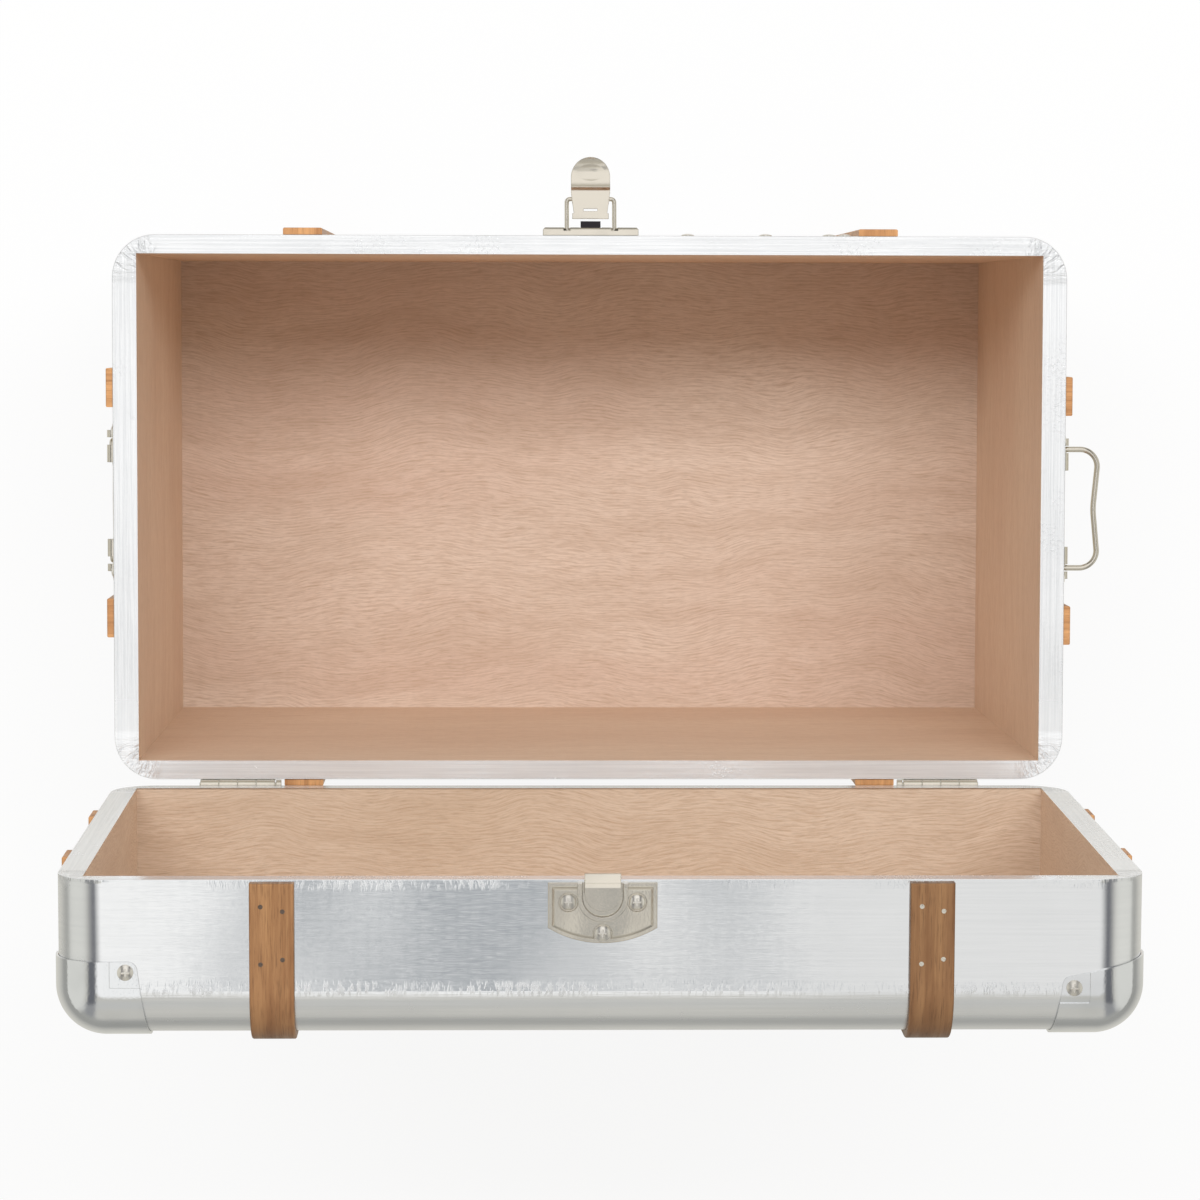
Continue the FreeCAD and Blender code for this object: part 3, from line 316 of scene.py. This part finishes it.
# ---- aluminium sheet: two numbers say where a mark starts to show and where it shows in full, and two
# ---- more what it gives there
ALUMINIUM = (0.93, 0.935, 0.94)
ALUMINIUM_DULL = (0.79, 0.80, 0.81)
ROLLED = Streak(9.0, 700.0, 4.0, 0.35, 0.70, 0.25, rough=0.75)
LEVEL_FROM = (0.5, 0.9)
FLAT_FROM = (0.965, 0.9995)
RIM_DROP = (0.001, 0.004)
SIDE_RIM_EDGE = 0.001
CLOUD_DULL = (0.35, 0.75, 0.0, 0.3)
RIM_DULL = (0.40, 0.60, 0.1, 0.6)
CLOUD_ROUGH = (0.3, 0.75, 0.05, 0.10)
MARK_ROUGH = (0.60, 0.8, 0.0, 0.10)
LEVEL_ROUGH = 0.10
ROUNDED_ROUGH = 0.18
SCUFF_ROUGH = 0.30
RIM_METALLIC = {"body": (0.80, 0.56), "lid": (0.50, 0.50)}
RIM_REAR = (0.10, 0.165)
SCUFF_SCALE = (480.0, 480.0, 130.0)
SCUFF_SHOWS = (0.48, 0.64)
SCUFF_SOFT = 0.003
SCUFFS_BY_FOLD = (-0.004, 0.003)
SCUFFS_BY_RIM = (0.000, 0.005)
WORN_FOLD = (0.30, 0.60, 0.3, 1.0)
WORN_RIM = (0.45, 0.70)
CRIMPS_ROUND = 7.0
CRIMPS_OUT = 80.0
CRIMP_HEIGHT = 4.0
CRIMP_CORNER = (-0.004, 0.004)
CRIMP_DROP = (0.0004, 0.003)


def shut_lid():
    """The turn about X and the shift that take a point of the open lid to its place with the lid shut."""
    hinge = next(joint for joint in frame["joints"] if joint["name"] == "lid_hinge")
    turn = math.radians(-hinge["range_deg"][0])
    anchor = Vector(hinge["pos_m"])
    return turn, anchor - Matrix.Rotation(turn, 3, "X") @ anchor


def sheet_place(finish, case):
    """Places from the middle of the rim's plane, and the directions that they face, with the lid shut."""
    normal = finish.node("ShaderNodeTexCoord").outputs["Normal"]
    if case == "body":
        return finish.mapped(finish.here, shift=(0.0, 0.0, -RIM)), normal
    turn, shift = shut_lid()
    return finish.turned(finish.here, turn, shift - Vector((0.0, 0.0, RIM))), finish.turned(normal, turn)


def rolled_lines(finish, place, level, side_rim):
    """Fine lines round the walls, and along the rim on each of its sides."""
    line = finish.mix(level, finish.streaks(ROLLED, place, "Z"), finish.streaks(ROLLED, place, "Y"))
    return finish.mix(side_rim, line, finish.streaks(ROLLED, place, "X"))


def scuffs(finish, place, tall, case):
    """Short scuffs across the line where the sheet starts to round over, and thinner ones by the rim."""
    scuff = finish.noise(finish.mapped(place, SCUFF_SCALE), detail=2.0, rough=0.7, swirl=0.3)
    worn = finish.noise(place, scale=16.0, detail=2.0, rough=0.6)
    low, high = (CASE_HEIGHT[case] - EDGE_RADIUS + edge for edge in SCUFFS_BY_FOLD)
    by_fold = finish.times(finish.band(tall, low, high, SCUFF_SOFT), finish.curve(worn, *WORN_FOLD))
    by_rim = finish.times(finish.band(tall, *SCUFFS_BY_RIM, SCUFF_SOFT), finish.curve(worn, *WORN_RIM))
    return finish.times(finish.curve(scuff, *SCUFF_SHOWS), finish.most(by_fold, by_rim))


def crimps(finish, out_x, out_y, tall):
    """Folds of the rim, in a fan round each corner."""
    fan = finish.node("ShaderNodeCombineXYZ")
    finish.feed(fan.inputs["X"], finish.times(finish.math("ARCTAN2", out_y, out_x), CRIMPS_ROUND))
    finish.feed(fan.inputs["Y"], finish.times(finish.add(out_x, out_y), CRIMPS_OUT))
    ridge = finish.noise(fan.outputs["Vector"], detail=2.0, rough=0.6, swirl=0.8)
    corner = finish.times(finish.curve(out_x, *CRIMP_CORNER), finish.curve(out_y, *CRIMP_CORNER))
    corner = finish.times(corner, finish.curve(tall, *CRIMP_DROP, 1.0, 0.0))
    return finish.times(finish.times(ridge, corner), CRIMP_HEIGHT)


def aluminium(name, case):
    """Thin sheet: fine rolled lines round the case, crimped folds at the corners of its rim, and scuffs."""
    finish = Finish(name)
    place, normal = sheet_place(finish, case)
    across, away, height = finish.split(place)
    facing = finish.node("ShaderNodeVectorMath", operation="ABSOLUTE")
    finish.feed(facing.inputs[0], normal)
    facing_x, facing_y, facing_z = finish.split(facing.outputs["Vector"])
    level = finish.curve(facing_z, *LEVEL_FROM)
    flat = finish.most(finish.most(facing_x, facing_y), facing_z)
    rounded = finish.curve(flat, *FLAT_FROM, 1.0, 0.0)

    # How far a place lies out past the centre of the nearest corner's round, and how far from the rim.
    out_x = finish.add(finish.size(across), EDGE_RADIUS - HALF_WIDTH)
    out_y = finish.add(finish.size(away), EDGE_RADIUS - HALF_DEPTH)
    tall = finish.size(height)
    rim = finish.times(level, finish.curve(tall, *RIM_DROP, 1.0, 0.0))
    beside = finish.curve(finish.less(out_x, out_y), -SIDE_RIM_EDGE, SIDE_RIM_EDGE)
    line = rolled_lines(finish, place, level, finish.times(rim, beside))
    cloud = finish.noise(place, scale=9.0, detail=4.0, rough=0.6)
    wave = finish.noise(place, scale=6.0, detail=1.0, rough=0.4)
    mark = finish.noise(place, scale=75.0, detail=4.0, rough=0.7, swirl=0.3)
    scuffed = scuffs(finish, place, tall, case)

    dull = finish.add(finish.curve(cloud, *CLOUD_DULL), finish.shown(ROLLED, line))
    dull = finish.add(dull, finish.times(rim, finish.curve(line, *RIM_DULL)))
    finish.colour(finish.mix(dull, ALUMINIUM, ALUMINIUM_DULL))
    rough = finish.add(finish.curve(cloud, *CLOUD_ROUGH), finish.curve(mark, *MARK_ROUGH))
    for where, share in ((level, LEVEL_ROUGH), (rounded, ROUNDED_ROUGH), (scuffed, SCUFF_ROUGH)):
        rough = finish.add(rough, finish.times(where, share))
    finish.roughness(rough)
    rim_metallic = finish.curve(away, *RIM_REAR, *RIM_METALLIC[case])
    finish.metallic(finish.curve(rim, 0.0, 1.0, 1.0, rim_metallic))

    under = finish.bump(wave, distance=0.006, strength=0.5)
    under = finish.bump(crimps(finish, out_x, out_y, tall), distance=0.0002, below=under)
    under = finish.bump(line, distance=0.00008, strength=0.6, below=under)
    under = finish.bump(mark, distance=0.0001, strength=0.2, below=under)
    finish.bump(scuffed, distance=0.0001, strength=0.5, below=under)
    return finish.material


# ---- small metal: colours, and where marks start to show and show in full, as on the sheet ----
CHROME = (0.86, 0.87, 0.88)
NICKEL = (0.75, 0.695, 0.60)
ZINC = (0.87, 0.83, 0.76)
NAIL = (0.20, 0.15, 0.12)
BRIGHT_NAIL = (0.85, 0.80, 0.70)
BLUED = (0.05, 0.045, 0.05)
WORN_SHADE = 0.82
WORN_SHOWS = (0.40, 0.80, 0.0, 0.5)
CLOUD_SHOWS = (0.35, 0.75)
SPECK_SHOWS = (0.6, 0.8)
EASED_EDGE = 0.0003
NAIL_SPECKS = (0.5, 0.8, 0.0, 0.5)
NAIL_ROUGH = (0.3, 0.8, 0.35, 0.6)
RUSTED_SIDE = (-0.01, 0.01)


def plated(name, colour, rough, wear, swell=0.0, ease=EASED_EDGE):
    """Plated stamped steel with soft handling marks, rounded edges and a slightly uneven face."""
    finish = Finish(name, metallic=1.0)
    cloud = finish.noise(finish.here, scale=38.0, detail=2.0)
    speck = finish.noise(finish.here, scale=700.0, detail=2.0, rough=0.6)
    worn = finish.curve(cloud, *WORN_SHOWS)
    finish.colour(finish.mix(worn, colour, scaled(colour, WORN_SHADE)))
    finish.roughness(finish.add(finish.curve(cloud, *CLOUD_SHOWS, rough, rough + wear),
                                finish.curve(speck, *SPECK_SHOWS, 0.0, wear)))
    edge = finish.node("ShaderNodeBevel", samples=4)
    edge.inputs["Radius"].default_value = ease
    uneven = finish.noise(finish.here, scale=42.0, detail=0.0)
    under = finish.bump(uneven, distance=swell, below=edge.outputs["Normal"])
    finish.bump(speck, distance=0.0002, strength=0.2, below=under)
    return finish.material


def lid_nails():
    """Rusted nails in one of the lid's slats, and nails still bright in the other."""
    finish = Finish("lid_nail", metallic=1.0)
    speck = finish.noise(finish.here, scale=900.0, detail=2.0, rough=0.6)
    bright = finish.mix(finish.curve(speck, *NAIL_SPECKS), BRIGHT_NAIL, NAIL)
    rusted = finish.curve(finish.split(finish.here)[0], *RUSTED_SIDE)
    finish.colour(finish.mix(rusted, bright, NAIL))
    finish.roughness(finish.curve(speck, *NAIL_ROUGH))
    finish.bump(speck, distance=0.0002, strength=0.3)
    return finish.material


# ---- which node wears what ----
def dress(material, *nodes):
    for name in nodes:
        data = frame["nodes"][name].data
        data.materials.clear()
        data.materials.append(material)


def dress_boards():
    """Every board has its own piece of plywood; each letter is the axis that its grain crosses."""
    boards = {
        "base_panel": ("Y", PLY), "lid_top_panel": ("Z", LID_PLY),
        "front_board": ("Z", WALL_PLY_PAINTED_LIGHT), "rear_board": ("Z", WALL_PLY_PAINTED_LIGHT),
        "left_board": ("Z", WALL_PLY_PAINTED_LIGHT), "right_board": ("Z", WALL_PLY_PAINTED_LIGHT),
        "lid_front_board": ("Y", WALL_PLY_PAINTED_LIGHT), "lid_rear_board": ("Y", LID_PLY),
        "lid_left_board": ("Y", WALL_PLY_PAINTED_LIGHT), "lid_right_board": ("Y", WALL_PLY_PAINTED_LIGHT),
    }
    for seed, (name, (across, colours)) in enumerate(boards.items(), start=1):
        dress(plywood("ply_" + name, across, seed, colours), name)


def dress_slats():
    """Every slat has its own grain. A seed only sets one slat's grain apart from another's."""
    for case, side_across in (("body", "Y"), ("lid", "Z")):
        for seed, side in enumerate(SIDES, start=3):
            name = f"{case}_{side}_hoop"
            dress(slat_wood("wood_" + name, "X", seed, SLAT_TONE.get(name, SLAT_END_GRAIN_AND_HIGHLIGHT)), name)
            for place in ("front", "rear"):
                name = f"{case}_{side}_{place}_slat"
                dress(slat_wood("wood_" + name, side_across, seed + len(name), SLAT_END_GRAIN_AND_HIGHLIGHT), name)


def dress_metal():
    dress(aluminium("sheet_body", "body"), "body_sheet")
    dress(aluminium("sheet_lid", "lid"), "lid_sheet")
    chrome = plated("polished_steel", CHROME, rough=0.08, wear=0.04)
    nickel = plated("nickel", NICKEL, rough=0.12, wear=0.06, swell=0.0008, ease=0.0008)
    zinc = plated("zinc", ZINC, rough=0.24, wear=0.10)
    dress(plated("nail", NAIL, rough=0.45, wear=0.2), "body_slat_nails")
    dress(lid_nails(), "lid_slat_nails")
    dress(plated("blued_spring", BLUED, rough=0.35, wear=0.1), "latch_spring")
    for name in frame["nodes"]:
        if "_cap_" in name and not name.endswith("screws"):
            dress(chrome, name)
        elif name.endswith("_screws") or name == "front_dome_nails":
            dress(zinc, name)
        elif name.startswith(("hinge_", "latch_", "catch_")) and name != "latch_spring":
            dress(nickel, name)
        elif name.endswith(("_handle_plate", "_bail")):
            dress(nickel, name)


# ---- camera and lamp ----
KEY_TINT = (1.0, 1.02, 1.06)
KEY_PLACE = Vector((0.0, -1.00, 3.4))
KEY_TARGET = Vector((0.0, 0.0, 0.3))
KEY_SIZE = (3.2, 0.75)
KEY_POWER = 84.0


def add_camera():
    """The fitted camera looks down. The trunk's rear is at the picture's foot, and its left on the right."""
    turn_x, turn_y, turn_z = CAMERA_TURNS
    turns = (Matrix.Rotation(turn_z, 3, "Z") @ Matrix.Rotation(turn_y, 3, "Y")
             @ Matrix.Rotation(turn_x, 3, "X"))
    right, down, forward = turns @ Matrix.Diagonal((-1, 1, -1))
    axes = Matrix((right, -down, -forward)).transposed()
    data = bpy.data.cameras.new("camera")
    data.sensor_width = SENSOR
    data.lens = SENSOR * FOCAL_PIXELS / FRAME_PIXELS
    camera = bpy.data.objects.new("camera", data)
    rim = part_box("body_sheet")[1].z
    place = (CAMERA_ACROSS, CAMERA_AWAY, rim + CAMERA_OVER_RIM)
    camera.matrix_world = Matrix.Translation(place) @ axes.to_4x4()
    bpy.context.scene.collection.objects.link(camera)
    bpy.context.scene.camera = camera


def add_key():
    """One wide soft lamp, which the metal doesn't mirror."""
    data = bpy.data.lights.new("key", "AREA")
    data.shape = "RECTANGLE"
    data.size, data.size_y = KEY_SIZE
    data.energy = KEY_POWER
    data.color = KEY_TINT
    lamp = bpy.data.objects.new("key", data)
    lamp.location = KEY_PLACE
    lamp.visible_glossy = False
    lamp.rotation_euler = (KEY_TARGET - KEY_PLACE).to_track_quat("-Z", "Y").to_euler()
    bpy.context.scene.collection.objects.link(lamp)


# ---- world: soft light on matt surfaces, and what the metal mirrors, by direction across, away and up ----
AMBIENT = 0.65
AMBIENT_LOW = 0.30
AMBIENT_EDGE = (0.0, 0.75)
AMBIENT_TINT = (1.0, 0.965, 0.90)
SOFT_BOX = (1.06, 1.06, 1.06)
SOFT_BOX_BACK = (0.97, 0.97, 0.96)
SOFT_BOX_FADE = (0.01, 0.15)
SOFT_BOX_EDGE = (0.86, 0.92)
SOFT_BOX_FRONT = (0.55, 0.75)
FRONT_EDGE = (-0.10, 0.0)
SIDE_FALL = (0.82, 0.82, 0.82)
SIDE_FALL_ACROSS = (-0.07, -0.03)
SIDE_FALL_AWAY = (0.0, 0.1)
BOOM = (0.42, 0.44, 0.46)
BOOM_ACROSS = (-0.036, 0.050)
BOOM_ACROSS_SOFT = 0.004
BOOM_AWAY = (0.07, 0.34)
BOOM_AWAY_SOFT = 0.02
CARD = (0.15, 0.155, 0.17)
CARD_FAR = (0.31, 0.315, 0.32)
CARD_FAR_EDGE = (0.58, 0.70)
CARD_INNER = (0.28, 0.44)
CARD_OUTER = (0.56, 0.70)
CARD_AWAY = (0.56, 0.56, 0.54)
CARD_AWAY_SPAN = (0.56, 0.80)
CARD_AWAY_SOFT = 0.08
FAR_SIDE = (0.72, 0.72, 0.68)
FAR_SIDE_EDGE = (0.62, 0.80)
ROOM = (0.58, 0.57, 0.53)
HORIZON = (0.38, 0.38, 0.36)
HORIZON_EDGE = (-0.05, 0.24)


def soft_box(nodes, across, away):
    """The light overhead, a little weaker behind and to one side, with the boom that carries it."""
    box = nodes.mix(nodes.curve(away, *SOFT_BOX_FADE), SOFT_BOX, SOFT_BOX_BACK)
    beside = nodes.times(nodes.curve(across, *SIDE_FALL_ACROSS, 1.0, 0.0), nodes.curve(away, *SIDE_FALL_AWAY))
    dimmed = nodes.mix(nodes.curve(beside, 0.0, 1.0), WHITE, SIDE_FALL)
    box = nodes.mix(1.0, box, dimmed, "MULTIPLY")
    boom = nodes.times(nodes.band(across, *BOOM_ACROSS, BOOM_ACROSS_SOFT),
                       nodes.band(away, *BOOM_AWAY, BOOM_AWAY_SOFT))
    return nodes.mix(boom, box, BOOM)


def mirrored_studio(nodes, across, away, up):
    """The soft box overhead, a dark card on each side and a pale one behind, in a grey room."""
    before = nodes.times(nodes.curve(away, *FRONT_EDGE, 1.0, 0.0), nodes.curve(up, *SOFT_BOX_FRONT))
    overhead = nodes.most(nodes.curve(up, *SOFT_BOX_EDGE), before)
    studio = nodes.mix(overhead, ROOM, soft_box(nodes, across, away))
    studio = nodes.mix(nodes.band(away, *CARD_AWAY_SPAN, CARD_AWAY_SOFT), studio, CARD_AWAY)
    side = nodes.size(across)
    card = nodes.less(nodes.curve(side, *CARD_INNER), nodes.curve(side, *CARD_OUTER))
    studio = nodes.mix(card, studio, nodes.mix(nodes.curve(away, *CARD_FAR_EDGE), CARD, CARD_FAR))
    studio = nodes.mix(nodes.curve(up, *HORIZON_EDGE, 1.0, 0.0), studio, HORIZON)
    return nodes.mix(nodes.curve(side, *FAR_SIDE_EDGE), studio, FAR_SIDE)


def add_world():
    """White to the eye, soft light on matt surfaces, and a studio in the metal."""
    world = bpy.data.worlds.new("studio")
    bpy.context.scene.world = world
    world.use_nodes = True
    nodes = Nodes(world.node_tree)
    across, away, up = nodes.split(nodes.node("ShaderNodeTexCoord").outputs["Generated"])
    path = nodes.node("ShaderNodeLightPath")
    seen = nodes.most(path.outputs["Is Camera Ray"], path.outputs["Is Glossy Ray"])
    seen = nodes.most(seen, path.outputs["Is Transmission Ray"])
    colour = nodes.mix(seen, AMBIENT_TINT, WHITE)
    colour = nodes.mix(path.outputs["Is Glossy Ray"], colour, mirrored_studio(nodes, across, away, up))
    ambient = nodes.curve(up, *AMBIENT_EDGE, AMBIENT_LOW, AMBIENT)
    background = nodes.tree.nodes["Background"]
    nodes.feed(background.inputs["Color"], colour)
    nodes.feed(background.inputs["Strength"], nodes.curve(seen, 0.0, 1.0, ambient, 1.0))


# ---- floor: near white to the eye, and mirrored darker behind the trunk and far off ----
FLOOR_HALF = 6.0
FLOOR = (0.86, 0.86, 0.86)
FLOOR_ROUGH = 0.9
FLOOR_BEHIND = (0.66, 0.645, 0.58)
FLOOR_BEFORE = (0.86, 0.85, 0.82)
FLOOR_TURN = (-0.1, 0.3)
FLOOR_FAR = (0.36, 0.36, 0.34)
FLOOR_REACH = (0.45, 2.4)
GLOW_REACH = (0.8, 3.0)
GLOW_SHARE = (0.87, 1.0)


def floor_material():
    """Matt and shadowed, with most of a white glow over it where the eye or the metal sees it."""
    finish = Finish("floor", roughness=FLOOR_ROUGH)
    finish.colour(FLOOR)
    path = finish.node("ShaderNodeLightPath")
    length = finish.node("ShaderNodeVectorMath", operation="LENGTH")
    finish.feed(length.inputs[0], finish.here)
    reach = length.outputs["Value"]
    mirrored = finish.mix(finish.curve(finish.split(finish.here)[1], *FLOOR_TURN), FLOOR_BEFORE, FLOOR_BEHIND)
    mirrored = finish.mix(finish.curve(reach, *FLOOR_REACH), mirrored, FLOOR_FAR)
    glow = finish.node("ShaderNodeEmission")
    finish.feed(glow.inputs["Color"], finish.mix(path.outputs["Is Glossy Ray"], WHITE, mirrored))
    watched = finish.most(path.outputs["Is Camera Ray"], path.outputs["Is Glossy Ray"])
    blend = finish.node("ShaderNodeMixShader")
    finish.feed(blend.inputs[0], finish.times(watched, finish.curve(reach, *GLOW_REACH, *GLOW_SHARE)))
    finish.feed(blend.inputs[1], finish.shader.outputs[0])
    finish.feed(blend.inputs[2], glow.outputs[0])
    finish.feed(finish.tree.nodes["Material Output"].inputs["Surface"], blend.outputs[0])
    return finish.material


def add_floor():
    corners = [(x * FLOOR_HALF, y * FLOOR_HALF, 0) for x, y in ((-1, -1), (1, -1), (1, 1), (-1, 1))]
    data = bpy.data.meshes.new("floor")
    data.from_pydata(corners, [], [(0, 1, 2, 3)])
    data.materials.append(floor_material())
    floor = bpy.data.objects.new("floor", data)
    bpy.context.scene.collection.objects.link(floor)


bpy.context.scene.view_settings.view_transform = "Standard"
add_camera()
add_world()
add_floor()
add_key()
dress_boards()
dress_slats()
dress_metal()
